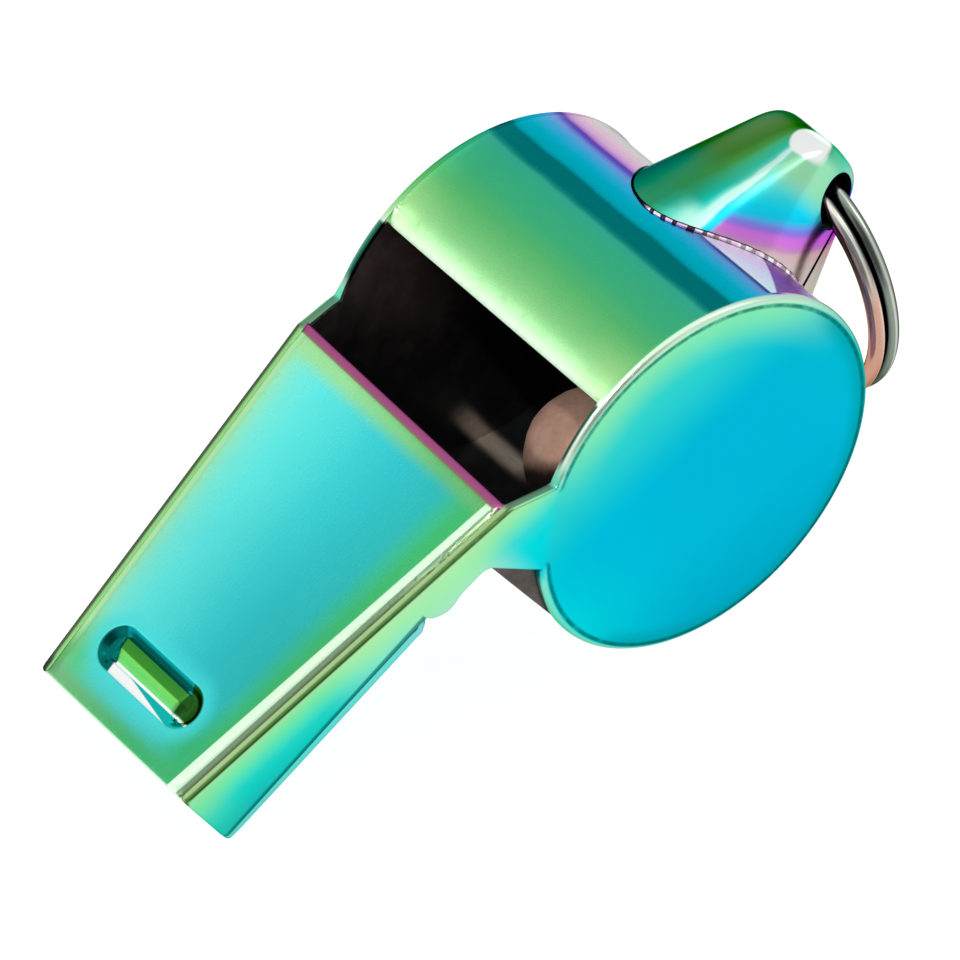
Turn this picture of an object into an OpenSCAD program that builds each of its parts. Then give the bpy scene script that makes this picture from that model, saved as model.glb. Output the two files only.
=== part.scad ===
// Signal whistle: sheet-metal pea whistle with a converging mouthpiece duct, a round
// barrel, a folded hanger with a split ring, and a loose cork ball inside the barrel.
// Millimetres. The pieces are drawn about the barrel axis with the mouthpiece level, then
// tipped so that the whistle stands on both disc rims and on the mouthpiece's lower tip.

/* [Barrel] */
// overall width over both side plates
barrel_width = 20; // [16:0.1:24]
// radius of the round part of a side plate
disc_r = 11.3; // [9:0.1:14]
// outside radius of the rolled barrel band
band_r = 11.2; // [8:0.05:13.5]
// sheet thickness of every pressed piece
sheet = 0.6; // [0.4:0.05:1]
// angle of the sounding lip, measured from the hanger side
lip_angle = 97.3; // [90:0.1:110]
// lap gap between neighbouring sheets
gap = 0.03; // [0.01:0.01:0.1]

/* [Mouthpiece] */
// distance of the mouth end in front of the barrel axis
tip_x = 31.9; // [26:0.1:40]
// distance of the window's front edge in front of the barrel axis
rear_x = 8.7; // [6:0.1:12]
// height of the top face over the barrel axis
top_z = 10.85; // [9:0.05:13]
// step from the top face down to the cheek edges
edge_step = 0.2; // [0:0.05:0.6]
// angle by which each cheek is bent inward at the neck
cheek_bend = 9.6; // [5:0.1:14]
// angle where the neck leaves the disc above
kink_angle = 123; // [115:0.5:130]
// angle of the relief notch below the neck
notch_angle = 151; // [145:0.5:160]
// height of the duct floor's underside at the mouth end
floor_tip_z = 5.75; // [4:0.05:8]
// height of the duct floor's underside at its bend
floor_bend_z = 8.0; // [6:0.05:9]
// height of the duct floor's underside at the throat
floor_rear_z = 8.3; // [6:0.05:9]

/* [Bite slot] */
// length of the slot across the mouthpiece
slot_len = 7.7; // [5:0.1:10]
// width of the slot
slot_wid = 2.5; // [1.5:0.1:4]
// depth of the pressed slot
slot_depth = 1.05; // [0.5:0.05:1.6]
// distance of the slot's middle in front of the barrel axis
slot_x = 28.2; // [24:0.1:30]
// distance of the slot's middle to the left of the centre line
slot_y = 0.7; // [-2:0.1:2]

/* [Hanger and ring] */
// distance of the ring hole behind the barrel axis
eye_x = 16.2; // [14:0.1:20]
// height of the ring hole over the barrel axis
eye_z = -1.4; // [-4:0.1:2]
// radius of the ring hole
eye_r = 1.55; // [1.3:0.05:2]
// outside radius of the rounded nose
nose_r = 2.82; // [2:0.02:3.5]
// half width of the hanger at its nose
nose_half = 2.44; // [1.5:0.02:3]
// half width of the hanger inside the barrel line
root_half = 5.6; // [2.5:0.1:7]
// half height of the hanger inside the barrel line
root_high = 7.27; // [4:0.01:9]
// mean radius of the split ring
ring_r = 7.15; // [5:0.05:10]
// wire diameter of the split ring
wire_d = 1.0; // [0.8:0.05:1.3]

/* [Ball] */
// diameter of the cork ball
ball_d = 8.2; // [7.6:0.1:9]
// distance from the barrel axis to the ball's centre
ball_orbit = 5.8; // [4:0.05:6.2]

/* [Hidden] */
half_w = barrel_width / 2;
bend_mid = (kink_angle + notch_angle) / 2;
bend_s = disc_r * cos((kink_angle - notch_angle) / 2);
// pose: the tip's lower corner and the disc rims touch the table together
tip_d = sqrt(tip_x * tip_x + floor_tip_z * floor_tip_z);
pitch = 180 + asin(disc_r / tip_d) - atan2(floor_tip_z, -tip_x);
x_front = -tip_x * cos(pitch) - top_z * sin(pitch);
boss_r = eye_r + 0.5;
x_back = eye_x * cos(pitch) - eye_z * sin(pitch) + boss_r;
x_shift = -(x_front + x_back) / 2;
edge_z = top_z - edge_step;
floor_bend_x = -17;
throat_x = -11.1;
throat_low_x = -(band_r - 0.5);
// the wire hangs in its hole clear of both edges
ring_drop = ring_r - sqrt(ring_r * ring_r - 2.1 * 2.1) - 0.17;

module pose() {
  translate([x_shift, 0, disc_r]) rotate([0, -pitch, 0]) children();
}

// flat outline in the X-Z plane, pulled along the barrel axis
module across(a, b) {
  translate([0, b, 0]) rotate([90, 0, 0]) linear_extrude(height = b - a) children();
}

// height above the outer sheet face, as a path across the bend line of the neck
function bent(o) = [[-13, -half_w + o], [bend_s - 0.6, -half_w + o],
  [bend_s + 0.1, -half_w + o + 0.7 * tan(cheek_bend / 4)],
  [bend_s + 0.7, -half_w + o + 0.7 * tan(cheek_bend / 4) + 0.6 * tan(cheek_bend * 0.65)],
  [bend_s + 26, -half_w + o + 0.7 * tan(cheek_bend / 4) + 0.6 * tan(cheek_bend * 0.65) + 25.3 * tan(cheek_bend)]];
function back(p) = [for (i = [len(p) - 1 : -1 : 0]) p[i]];
function far(p) = [for (q = p) [q[0], -q[1]]];

// sheet between two depths under the outer face of the right side
module bent_sheet(o1, o2) {
  rotate([0, -bend_mid, 0]) translate([0, 0, -45]) linear_extrude(height = 90)
    polygon(concat(bent(o1), back(bent(o2))));
}

// everything between the two cheeks, at a depth under their outer faces
module between_cheeks(o) {
  rotate([0, -bend_mid, 0]) translate([0, 0, -45]) linear_extrude(height = 90)
    polygon(concat(bent(o), back(far(bent(o)))));
}

function floor_z(x) = x < floor_bend_x
  ? floor_tip_z + (floor_bend_z - floor_tip_z) * (x + tip_x) / (floor_bend_x + tip_x)
  : floor_bend_z + (floor_rear_z - floor_bend_z) * (x - floor_bend_x) / (throat_x - floor_bend_x);

// point on the round side's rim, and a point further along the line from q through p
function rim_at(a) = disc_r * [cos(a), sin(a)];
function past(p, q, d) = p + (p - q) * (d / norm(p - q));

module side_plate() {
  // round side with a rolled outer edge
  rotate([90, 0, 0]) rotate_extrude($fn = 144)
    polygon([[0, half_w], [disc_r - 0.4, half_w], [disc_r - 0.2, half_w - 0.05],
             [disc_r - 0.05, half_w - 0.2], [disc_r, half_w - 0.4],
             [disc_r, half_w - sheet], [0, half_w - sheet]]);
  // neck and tapering cheek
  intersection() {
    across(-half_w - 1, 0) polygon([
      past(rim_at(kink_angle), [-rear_x, edge_z], 1.3),
      [-rear_x, edge_z], [-tip_x, edge_z],
      [-tip_x, floor_z(-tip_x) + sheet + 0.35], [-tip_x + 0.35, floor_z(-tip_x) + sheet + gap + 0.05],
      [floor_bend_x, floor_bend_z + sheet + gap],
      [-16.5, floor_bend_z + sheet + 0.08], [-16, floor_bend_z + sheet - 0.02],
      [-15.4, floor_bend_z + sheet - 0.2], [-14.8, floor_bend_z + sheet - 0.26],
      [-14.1, floor_bend_z + sheet - 0.2], [-13.2, floor_bend_z + sheet - 0.03],
      [-12.6, floor_bend_z + sheet - 0.02], [-12.05, floor_bend_z + 0.45], [-11.6, floor_bend_z + 0.2],
      past(rim_at(notch_angle), [-11.6, floor_bend_z + 0.2], 1.5),
      [-6.6, 5.1]]);
    bent_sheet(0, sheet);
  }
}

module right_side_plate() color([0.10, 0.70, 0.80]) side_plate();

module left_side_plate() color([0.10, 0.70, 0.80]) mirror([0, 1, 0]) side_plate();

module barrel_band() color([0.25, 0.70, 0.55]) difference() {
  rotate([90, 0, 0]) rotate([0, 0, 176]) rotate_extrude(angle = 184 + lip_angle, $fn = 160)
    translate([band_r - sheet, -half_w + sheet + gap]) square([sheet, 2 * (half_w - sheet - gap)]);
  // sounding lip, ground thin from above
  rotate([0, -lip_angle, 0]) translate([band_r, 0, 0]) rotate([0, -12, 0])
    translate([-0.02, -half_w, -1.6]) cube([3, barrel_width, 3.2]);
}

module mouthpiece_top() color([0.35, 0.85, 0.85]) difference() {
  union() {
    // flat top with a rolled-down edge at the window
    intersection() {
      across(-half_w, half_w) polygon([
        [-tip_x, top_z - 0.12], [-tip_x + 0.12, top_z], [-rear_x - 0.75, top_z],
        [-rear_x - 0.4, top_z - 0.08], [-rear_x - 0.12, top_z - 0.3], [-rear_x, top_z - 0.65],
        [-rear_x, top_z - 0.95], [-rear_x - sheet, top_z - 0.95], [-rear_x - sheet, top_z - sheet],
        [-tip_x, top_z - sheet]]);
      between_cheeks(sheet + gap);
    }
    // turned-down flanges along both cheeks
    intersection() {
      across(-half_w, half_w) polygon([[-tip_x, top_z - 0.3], [-rear_x - sheet, top_z - 0.3],
        [-rear_x - sheet, top_z - 1.25], [-tip_x, top_z - 1.6]]);
      difference() {
        between_cheeks(sheet + gap);
        between_cheeks(2 * sheet + gap);
      }
    }
    // underside of the pressed bite slot
    translate([-slot_x, slot_y, top_z - slot_depth - sheet]) slot_form(sheet, slot_depth + sheet - 0.1);
  }
  difference() {
    translate([-slot_x, slot_y, top_z - slot_depth]) slot_form(0, slot_depth + 1);
    // raised bar along the slot
    translate([-slot_x, slot_y, top_z - slot_depth - 0.15]) rotate([90, 0, 0])
      cylinder(r = 0.75, h = slot_len + 2, center = true, $fn = 40);
  }
}

module slot_form(o, h) {
  for (s = [-1, 1]) translate([0, s * (slot_len - slot_wid) / 2, 0])
    cylinder(r = slot_wid / 2 + o, h = h, $fn = 56);
  translate([-slot_wid / 2 - o, -(slot_len - slot_wid) / 2, 0])
    cube([slot_wid + 2 * o, slot_len - slot_wid, h]);
}

module windway_floor() color([0.20, 0.65, 0.70]) {
  // front part, on which the cheeks stand
  intersection() {
    across(-half_w, half_w) polygon([[-tip_x, floor_tip_z], [floor_bend_x, floor_bend_z],
      [floor_bend_x, floor_bend_z + sheet], [-tip_x, floor_tip_z + sheet]]);
    between_cheeks(0.4);
  }
  // rear part, between the cheeks, up to the throat
  intersection() {
    across(-half_w, half_w) polygon([[floor_bend_x - 2, floor_z(floor_bend_x - 2) + 0.02],
      [floor_bend_x, floor_bend_z], [throat_x, floor_rear_z], [throat_x, floor_rear_z + sheet],
      [floor_bend_x, floor_bend_z + sheet], [floor_bend_x - 2, floor_z(floor_bend_x - 2) + sheet - 0.02]]);
    between_cheeks(sheet + gap);
  }
}

module throat_plate() color([0.30, 0.27, 0.26]) {
  // upright wall from the barrel's front up to the duct floor
  intersection() {
    across(-half_w, half_w) polygon([[throat_low_x - 0.5, 0.83], [throat_low_x, 0.83],
      [throat_x, floor_rear_z - gap], [throat_x - 0.52, floor_z(throat_x - 0.52) - gap]]);
    between_cheeks(sheet + gap);
  }
  // side tabs that close the relief notches
  for (s = [0, 1]) mirror([0, s, 0]) intersection() {
    across(-half_w, 0) polygon([[throat_low_x - 0.5, 0.83], [throat_low_x + 0.1, 0.83], [-10.0, 4.4],
      [-8.3, 6.6], [-8.9, floor_rear_z - gap], [throat_x - 0.52, floor_z(throat_x - 0.52) - gap]]);
    bent_sheet(sheet + gap, sheet + gap + 0.5);
  }
}

module lug_form(o) {
  // rounded cone that runs from the barrel to a narrow nose
  hull() {
    translate([9.78, 0, -0.05]) rotate([0, 90 - 6.5, 0]) translate([0, 0, -3])
      scale([(root_high - o) / 10, (root_half - o) / 10, 1]) cylinder(r = 10, h = 3.05, $fn = 48);
    translate([15.5, 0, -0.2]) rotate([90, 0, 0]) {
      cylinder(r = nose_r - o, h = 2 * (nose_half - 0.6), center = true, $fn = 48);
      cylinder(r = nose_r - 0.5 - o, h = 2 * (nose_half - o), center = true, $fn = 48);
    }
    translate([eye_x, 0, eye_z]) rotate([90, 0, 0])
      cylinder(r = boss_r - o, h = 2 * (nose_half - 0.25 - o), center = true, $fn = 40);
  }
}

module ring_lug() color([0.25, 0.55, 0.35]) difference() {
  lug_form(0);
  lug_form(sheet);
  // saddle on the barrel
  rotate([90, 0, 0]) cylinder(r = band_r + gap, h = barrel_width, center = true, $fn = 160);
  // hole for the ring
  translate([eye_x, 0, eye_z]) rotate([90, 0, 0]) cylinder(r = eye_r, h = 12, center = true, $fn = 48);
  // seam where the rolled sheet's edges meet
  translate([14.9, -2.2, -2.62]) rotate([0, 11.5, 0]) translate([-5.5, -4, -0.07]) cube([6, 4, 0.14]);
}

module split_ring() color([0.72, 0.72, 0.74])
  translate([x_shift + eye_x * cos(pitch) - eye_z * sin(pitch), 0,
             disc_r + eye_x * sin(pitch) + eye_z * cos(pitch) + ring_drop - ring_r])
  rotate([0, 90, 0]) rotate([0, 0, 75]) {
    // two flat turns of round wire
    rotate([0, 0, 9]) translate([0, 0, -0.48 * wire_d]) rotate_extrude(angle = 346, $fn = 120)
      translate([ring_r, 0]) circle(d = wire_d, $fn = 28);
    rotate([0, 0, 5]) translate([0, 0, 0.48 * wire_d]) rotate_extrude(angle = 346, $fn = 120)
      translate([ring_r, 0]) circle(d = wire_d, $fn = 28);
    // step where the wire passes from one turn to the next
    step_b = ring_r * [cos(-5.5), sin(-5.5)];
    step_e = ring_r * [cos(5.5), sin(5.5)];
    step_l = sqrt(pow(step_e[1] - step_b[1], 2) + pow(0.96 * wire_d, 2));
    translate([ring_r * cos(5.5), step_b[1], -0.48 * wire_d])
      rotate([-atan2(step_e[1] - step_b[1], 0.96 * wire_d), 0, 0])
      cylinder(d = wire_d * 0.98, h = step_l, $fn = 28);
  }

module cork_pea() color([0.55, 0.42, 0.33])
  translate([x_shift, 0, disc_r - ball_orbit]) sphere(d = ball_d, $fn = 64);

pose() right_side_plate();
pose() left_side_plate();
pose() barrel_band();
pose() mouthpiece_top();
pose() windway_floor();
pose() throat_plate();
pose() ring_lug();
split_ring();
cork_pea();
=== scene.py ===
import math
import bmesh
import bpy
import numpy as np
from mathutils import Matrix, Vector, noise
from mathutils.bvhtree import BVHTree
from mathutils.geometry import delaunay_2d_cdt


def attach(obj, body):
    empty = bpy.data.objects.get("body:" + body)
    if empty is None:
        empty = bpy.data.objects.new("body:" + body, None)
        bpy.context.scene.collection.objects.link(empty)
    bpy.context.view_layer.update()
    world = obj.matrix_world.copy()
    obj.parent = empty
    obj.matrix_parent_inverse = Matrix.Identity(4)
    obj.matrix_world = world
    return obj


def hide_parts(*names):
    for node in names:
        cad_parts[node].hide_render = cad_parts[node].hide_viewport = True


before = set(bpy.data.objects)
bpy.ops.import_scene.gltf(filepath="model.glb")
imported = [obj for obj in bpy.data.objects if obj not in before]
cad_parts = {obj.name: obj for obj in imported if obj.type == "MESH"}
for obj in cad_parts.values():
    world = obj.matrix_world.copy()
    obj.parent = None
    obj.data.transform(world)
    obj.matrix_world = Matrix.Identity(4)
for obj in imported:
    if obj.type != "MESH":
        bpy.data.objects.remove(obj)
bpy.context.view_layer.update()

# ---------------------------------------------------------------- whistle's own frame
# Millimetres about the barrel axis, mouthpiece level. Tipped to stand on rims and mouth end.
DISC_R, BAND_R, SHEET, HALF = 11.3, 11.2, 0.6, 10.0
TIP_X, REAR_X, TOP_Z, EDGE_Z = 31.9, 8.7, 10.85, 10.65
FLOOR_TIP, FLOOR_BEND, FLOOR_REAR, FLOOR_X, THROAT_X = 5.75, 8.0, 8.3, -17.0, -11.1
EYE_X, EYE_Z, EYE_R = 16.2, -1.4, 1.55
RING_R, WIRE = 7.15, 1.0
PITCH = math.pi + math.asin(DISC_R / math.hypot(TIP_X, FLOOR_TIP)) - math.atan2(FLOOR_TIP, -TIP_X)
CP, SP = math.cos(PITCH), math.sin(PITCH)
X_SHIFT = -((-TIP_X * CP - TOP_Z * SP) + (EYE_X * CP - EYE_Z * SP + EYE_R + 0.5)) / 2


def to_row(p):
    p = np.asarray(p, float)
    return np.stack([p[:, 0] * CP - p[:, 2] * SP + X_SHIFT, p[:, 1], p[:, 0] * SP + p[:, 2] * CP + DISC_R], 1) / 1000


def from_row(p):
    q = np.asarray(p, float) * 1000 - np.array([X_SHIFT, 0, DISC_R])
    return np.stack([q[:, 0] * CP + q[:, 2] * SP, q[:, 1], -q[:, 0] * SP + q[:, 2] * CP], 1)


def cheek_in(x, z):
    """How far the outer face of a cheek has come in from the disc's plane."""
    s = -0.7314 * np.asarray(x, float) + 0.6820 * np.asarray(z, float)
    zero, w, slope = 10.964 + 0.1387, 0.75, math.tan(math.radians(9.6))
    return np.where(s < zero - w, 0.0, np.where(s > zero + w, slope * (s - zero), slope / (4 * w) * (s - zero + w) ** 2))


def floor_z(x):
    x = np.asarray(x, float)
    return np.where(x < FLOOR_X, FLOOR_TIP + (FLOOR_BEND - FLOOR_TIP) * (x + TIP_X) / (FLOOR_X + TIP_X),
                    FLOOR_BEND + (FLOOR_REAR - FLOOR_BEND) * (x - FLOOR_X) / (THROAT_X - FLOOR_X))


# ---------------------------------------------------------------- materials
def C(r, g, b):
    f = lambda v: v / 12.92 if v <= 0.04045 else ((v + 0.055) / 1.055) ** 2.4
    return (f(r / 255), f(g / 255), f(b / 255), 1.0)


class Mat:
    def __init__(self, name, rough=0.25, metal=1.0):
        self.m = bpy.data.materials.new(name)
        self.m.use_nodes = True
        self.nt = self.m.node_tree
        self.nt.nodes.clear()
        self.out = self.nt.nodes.new("ShaderNodeOutputMaterial")
        self.bsdf = self.nt.nodes.new("ShaderNodeBsdfPrincipled")
        self.nt.links.new(self.bsdf.outputs[0], self.out.inputs[0])
        self.bsdf.inputs["Metallic"].default_value = metal
        self.bsdf.inputs["Roughness"].default_value = rough

    def put(self, sock, v):
        if isinstance(v, bpy.types.NodeSocket):
            self.nt.links.new(v, sock)
        else:
            sock.default_value = v

    def attr(self, name, vec=False):
        n = self.nt.nodes.new("ShaderNodeAttribute")
        n.attribute_name = name
        return n.outputs["Vector"] if vec else n.outputs["Fac"]

    def xyz(self):
        n = self.nt.nodes.new("ShaderNodeSeparateXYZ")
        self.place = self.attr("own", True)
        self.nt.links.new(self.place, n.inputs[0])
        return n.outputs[0], n.outputs[1], n.outputs[2]

    def math(self, op, a, b=None, c=None):
        n = self.nt.nodes.new("ShaderNodeMath")
        n.operation = op
        for i, v in enumerate((a, b, c)):
            if v is not None:
                self.put(n.inputs[i], v)
        return n.outputs[0]

    def add(self, a, b): return self.math("ADD", a, b)
    def sub(self, a, b): return self.math("SUBTRACT", a, b)
    def mul(self, a, b): return self.math("MULTIPLY", a, b)
    def low(self, a, b): return self.math("MINIMUM", a, b)
    def high(self, a, b): return self.math("MAXIMUM", a, b)

    def step(self, x, a, b):
        """0 at a, 1 at b, smooth between."""
        n = self.nt.nodes.new("ShaderNodeMapRange")
        n.interpolation_type = "SMOOTHSTEP"
        self.put(n.inputs["Value"], x)
        flip = a > b
        n.inputs["From Min"].default_value, n.inputs["From Max"].default_value = (b, a) if flip else (a, b)
        n.inputs["To Min"].default_value, n.inputs["To Max"].default_value = (1, 0) if flip else (0, 1)
        return n.outputs[0]

    def band(self, x, a, b, c, d):
        """Rises from a to b, falls from c to d."""
        return self.mul(self.step(x, a, b), self.step(x, d, c))

    def ramp(self, x, stops, interp="LINEAR"):
        """stops: (value, colour), in the units of x."""
        lo, hi = stops[0][0], stops[-1][0]
        n = self.nt.nodes.new("ShaderNodeMapRange")
        self.put(n.inputs["Value"], x)
        n.inputs["From Min"].default_value, n.inputs["From Max"].default_value = lo, hi
        r = self.nt.nodes.new("ShaderNodeValToRGB")
        r.color_ramp.interpolation = interp
        e = r.color_ramp.elements
        while len(e) > 1:
            e.remove(e[-1])
        e[0].position, e[0].color = 0, stops[0][1]
        for v, c in stops[1:]:
            k = e.new((v - lo) / (hi - lo))
            k.color = c
        self.nt.links.new(n.outputs[0], r.inputs[0])
        return r.outputs[0]

    def mix(self, f, a, b, kind="MIX"):
        n = self.nt.nodes.new("ShaderNodeMix")
        n.data_type = "RGBA"
        n.blend_type = kind
        n.clamp_factor = True
        self.put(n.inputs[0], f)
        self.put(n.inputs[6], a)
        self.put(n.inputs[7], b)
        return n.outputs[2]

    def grain(self, scale, detail=3.0, rough=0.5, stretch=None, vec=None):
        n = self.nt.nodes.new("ShaderNodeTexNoise")
        n.inputs["Scale"].default_value = scale
        n.inputs["Detail"].default_value = detail
        n.inputs["Roughness"].default_value = rough
        v = vec or self.place
        if stretch:
            s = self.nt.nodes.new("ShaderNodeVectorMath")
            s.operation = "MULTIPLY"
            self.nt.links.new(v, s.inputs[0])
            s.inputs[1].default_value = stretch
            v = s.outputs[0]
        self.nt.links.new(v, n.inputs["Vector"])
        return n.outputs["Fac"]

    def finish(self, colour, rough, bump_h=None, bump=0.02, dist=0.00002, tint=False):
        self.put(self.bsdf.inputs["Base Color"], colour)
        self.put(self.bsdf.inputs["Roughness"], rough)
        if tint:
            self.put(self.bsdf.inputs["Specular Tint"], colour)
        if bump_h is not None:
            n = self.nt.nodes.new("ShaderNodeBump")
            n.inputs["Strength"].default_value = bump
            n.inputs["Distance"].default_value = dist
            self.nt.links.new(bump_h, n.inputs["Height"])
            self.nt.links.new(n.outputs[0], self.bsdf.inputs["Normal"])
        return self.m


def coat_end(M, colour, base_rough, stretch=(1, 1, 1)):
    """Fine coat grain shared by every coated sheet: cloudy tint, hairline satin, roughness that varies."""
    cloud = M.grain(0.35, 4.0, 0.55)
    hair = M.grain(5.0, 4.0, 0.6, stretch)
    fleck = M.grain(16.0, 2.0, 0.5)
    tint = M.mix(M.mul(M.step(cloud, 0.35, 0.7), 0.10), colour, M.mix(1.0, colour, C(205, 240, 225), "MULTIPLY"))
    tint = M.mix(M.mul(M.step(fleck, 0.62, 0.75), 0.03), tint, C(235, 250, 245))
    rough = M.add(M.add(base_rough - 0.04, M.mul(hair, 0.09)), M.mul(cloud, 0.05))
    return M.finish(tint, rough, M.add(hair, M.mul(fleck, 0.4)), 0.005, tint=True)


# BAND_STOPS: the coat's tint round the barrel by angle, with a painted dark reflection stripe from 49° to 56° and a
# painted highlight toward the lip from 95°
BAND_STOPS = [(-180, C(150, 205, 190)), (-120, C(196, 196, 200)), (-60, C(190, 170, 196)), (-20, C(120, 150, 200)), (0, C(190, 190, 196)),
              (16, C(220, 216, 216)), (22, C(225, 204, 216)), (27.5, C(218, 184, 219)), (29.5, C(192, 156, 212)), (31, C(128, 106, 188)), (32.6, C(126, 122, 206)),
              (34.5, C(138, 170, 227)), (38, C(88, 182, 227)), (43, C(22, 182, 204)), (47.6, C(18, 172, 190)), (49.2, C(10, 120, 123)), (55.8, C(10, 118, 118)),
              (57.4, C(58, 175, 149)), (62, C(60, 178, 135)), (70, C(66, 179, 125)), (76, C(85, 184, 113)), (82, C(111, 198, 121)),
              (87.5, C(138, 213, 138)), (91.5, C(166, 227, 161)), (95, C(194, 233, 187)), (97.5, C(222, 242, 222)), (180, C(150, 205, 190))]


def plate_material():
    M = Mat("plate_coat")
    x, y, z = M.xyz()
    edge = M.attr("edge")
    r = M.math("SQRT", M.add(M.mul(x, x), M.mul(z, z)))
    ang = M.mul(M.math("ARCTAN2", z, x), 180 / math.pi)
    # round face: cyan to blue across, lighter at the top
    face = M.ramp(M.add(x, M.mul(z, 0.25)), [(-11, C(8, 208, 215)), (-9, C(4, 196, 215)), (-6, C(4, 186, 214)), (0, C(10, 181, 212)),
                                             (5, C(10, 180, 211)), (11, C(10, 184, 205))])
    low = M.step(M.add(z, M.mul(x, 0.3)), -3.0, -11.0)
    face = M.mix(M.mul(low, 0.8), face, C(2, 168, 197))
    rise = M.step(M.add(z, M.mul(x, 0.12)), 2.0, 9.0)
    face = M.mix(M.mul(rise, 0.95), face, C(60, 209, 200))
    crescent = M.mul(M.step(r, 7.9, 11.0), M.band(ang, -10, 36, 98, 134))
    face = M.mix(M.mul(crescent, 0.92), face, C(136, 228, 172))
    rim_low = M.mul(M.step(r, 9.6, 10.7), M.step(M.sub(z, M.mul(x, 0.25)), 0.5, -2.5))
    face = M.mix(M.mul(rim_low, 0.7), face, C(16, 160, 168))
    # neck and cheek: yellow-green above, cyan below and toward the mouth
    down = M.sub(EDGE_Z, z)
    neck = M.ramp(down, [(0, C(168, 225, 165)), (0.7, C(140, 226, 168)), (1.4, C(100, 220, 190)), (2.1, C(52, 211, 205)), (3.0, C(14, 211, 214)), (5.5, C(8, 206, 216))])
    mid = M.ramp(down, [(0, C(172, 228, 166)), (0.6, C(162, 230, 168)), (1.3, C(148, 228, 180)), (1.9, C(128, 226, 196)), (2.6, C(110, 216, 200))])
    fore = M.ramp(down, [(0, C(154, 222, 160)), (0.7, C(116, 224, 164)), (1.4, C(74, 218, 186)), (2.0, C(36, 206, 192)),
                         (2.7, C(24, 199, 186)), (3.4, C(34, 184, 178)), (4.2, C(30, 168, 165))])
    tip = M.ramp(down, [(0, C(154, 222, 162)), (0.7, C(126, 222, 160)), (1.4, C(104, 216, 168)), (2.2, C(66, 208, 182)), (3.2, C(40, 194, 176)), (4.2, C(36, 180, 166))])
    lobe = M.ramp(down, [(0, C(172, 228, 166)), (0.6, C(162, 230, 168)), (1.3, C(156, 230, 172)), (1.9, C(158, 227, 182)), (2.6, C(168, 223, 194))])
    mid = M.mix(M.step(x, -17.4, -15.4), mid, lobe)
    cheek = M.mix(M.step(x, -12.5, -9.5), mid, neck)
    cheek = M.mix(M.step(x, -18.5, -23.5), cheek, fore)
    cheek = M.mix(M.step(x, -29.0, -31.6), cheek, tip)
    s = M.add(M.mul(x, -0.7314), M.mul(z, 0.6820))
    colour = M.mix(M.step(s, 10.2, 11.4), face, cheek)
    # rolled rim: painted highlight on the shoulder, outside a painted dark reflection line over a shallow real groove
    is_rim = M.mul(M.step(r, 10.3, 10.5), M.step(s, 10.9, 10.4))
    bead = M.add(edge, M.mul(M.band(ang, 66, 108, 132, 150), 0.10))
    line = M.mul(M.band(bead, 0.30, 0.40, 0.50, 0.66), is_rim)
    # line_fade breaks the painted dark reflection line up at random
    line_fade = M.step(M.grain(1.3, 5.0, 0.7), 0.34, 0.55)
    line = M.mul(line, M.add(0.55, M.mul(line_fade, 0.45)))
    lit = M.mul(M.step(bead, 0.36, 0.2), is_rim)
    shoulder = M.ramp(ang, [(-180, C(120, 218, 190)), (-150, C(170, 226, 206)), (-90, C(60, 190, 190)), (-20, C(80, 196, 176)),
                            (25, C(190, 226, 206)), (70, C(214, 242, 214)), (96, C(226, 247, 228)), (128, C(220, 246, 226)), (150, C(130, 226, 200)), (180, C(120, 218, 190))])
    colour = M.mix(lit, colour, shoulder)
    colour = M.mix(M.mul(line, 0.85), colour, C(18, 112, 104))
    # cut edges: olive along the top, grey along the window, the barrel's own tint inside the rims
    is_cheek = M.step(s, 10.9, 11.5)
    bent = M.mul(M.high(M.sub(s, 11.1027), 0.0), math.tan(math.radians(9.6)))
    depth = M.sub(M.sub(HALF, bent), M.math("ABSOLUTE", y))
    cut = M.mul(M.mul(M.step(edge, 0.16, 0.03), M.step(z, 10.2, 10.45)), M.step(x, -8.4, -8.8))
    # the dark bands in near_cut and far_cut are painted shade along the cheek's cut top edge
    near_cut = M.ramp(depth, [(0.0, C(104, 146, 84)), (0.07, C(82, 122, 64)), (0.21, C(88, 126, 68)), (0.30, C(148, 182, 124)), (0.44, C(156, 190, 134)), (0.52, C(150, 182, 132)), (0.6, C(140, 160, 124))])
    far_cut = M.ramp(depth, [(0.0, C(92, 104, 84)), (0.25, C(84, 102, 74)), (0.33, C(138, 196, 122)), (0.6, C(160, 224, 146))])
    far_cut = M.mix(M.mul(M.step(x, -30.6, -31.3), M.step(depth, 0.5, 0.3)), far_cut, C(62, 66, 64))
    far_side = M.step(y, -0.5, 0.5)
    colour = M.mix(cut, colour, M.mix(far_side, near_cut, far_cut))
    gate = M.mul(M.mul(M.step(edge, 0.10, 0.02), M.band(x, -8.9, -8.6, -6.4, -6.0)), M.step(z, 8.6, 9.0))
    colour = M.mix(M.mul(gate, M.mul(M.step(depth, 0.08, 0.2), 0.8)), colour, C(84, 110, 98))
    wrap = M.mul(M.mul(is_rim, M.step(r, 11.02, 11.12)), M.step(M.add(depth, M.mul(far_side, 0.5)), 0.34, 0.46))
    colour = M.mix(wrap, colour, M.ramp(ang, BAND_STOPS))
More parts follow.
